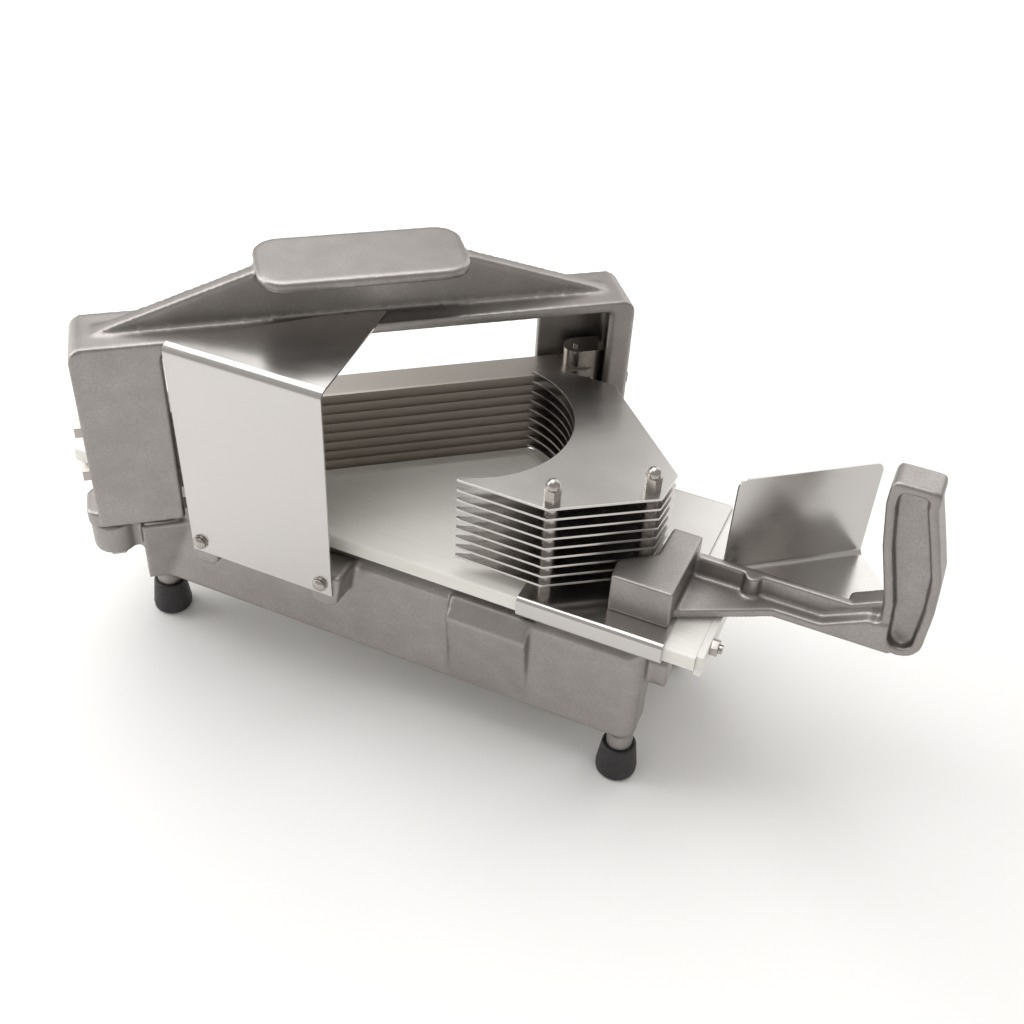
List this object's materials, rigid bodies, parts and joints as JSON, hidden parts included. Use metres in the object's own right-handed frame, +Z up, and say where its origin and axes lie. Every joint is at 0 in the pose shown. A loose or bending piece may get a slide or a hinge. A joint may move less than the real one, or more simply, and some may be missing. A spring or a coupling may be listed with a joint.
{
  "type": "tomato slicer",
  "caption": "Push-type kitchen slicer: cast base on rubber feet, slanted blade arch with hand pad, finned pusher head with an upright grip sliding on a plastic board, sheet-metal guards",
  "frame": {"origin": "centre of the flat underside of the four feet's box, on the table", "axes": "+X towards the operator along the push direction, +Y across the board, +Z up"},
  "size_m": [0.482, 0.2129, 0.252],
  "materials": {
    "cast_aluminium": "tumbled casting, satin",
    "polished_sheet": "polished sheet",
    "blade_steel": "ground strip, satin",
    "holder_steel": "bright machined steel",
    "fastener_steel": "bright plated steel",
    "white_plastic": "milled high-density plastic",
    "rubber_boots": "moulded rubber"
  },
  "bodies": {
    "frame": {"base_casting": "cast_aluminium", "arch_frame": "cast_aluminium", "foot_front_left": "rubber_boots", "foot_front_right": "rubber_boots", "foot_rear_left": "rubber_boots", "foot_rear_right": "rubber_boots", "slide_board": "white_plastic", "end_strip": "white_plastic", "end_studs": "fastener_steel", "end_nuts": "fastener_steel", "board_screws": "fastener_steel", "feed_guard": "polished_sheet", "guard_washers": "fastener_steel", "guard_screws": "fastener_steel", "blade_1": "blade_steel", "blade_2": "blade_steel", "blade_3": "blade_steel", "blade_4": "blade_steel", "blade_5": "blade_steel", "blade_6": "blade_steel", "blade_7": "blade_steel", "blade_8": "blade_steel", "blade_9": "blade_steel", "blade_holder_left": "holder_steel", "blade_holder_right": "holder_steel", "blade_pins": "fastener_steel", "tension_washers": "fastener_steel", "tension_bolts_left": "fastener_steel", "tension_bolts_right": "fastener_steel", "arch_bolts": "fastener_steel"},
    "pusher": {"carriage_plate": "polished_sheet", "fin_studs": "fastener_steel", "fin_spacers": "fastener_steel", "fin_1": "polished_sheet", "fin_2": "polished_sheet", "fin_3": "polished_sheet", "fin_4": "polished_sheet", "fin_5": "polished_sheet", "fin_6": "polished_sheet", "fin_7": "polished_sheet", "fin_8": "polished_sheet", "fin_9": "polished_sheet", "stud_nuts": "fastener_steel", "acorn_nuts": "fastener_steel", "handle_casting": "cast_aluminium", "handle_screws_csk": "fastener_steel", "hand_guard": "polished_sheet", "hand_guard_screws": "fastener_steel"}
  },
  "joints": [
    {"name": "pusher_slide", "type": "slide", "parent": "frame", "child": "pusher", "axis": [-1, 0, 0], "range_m": [-0.0165, 0.17]}
  ]
}
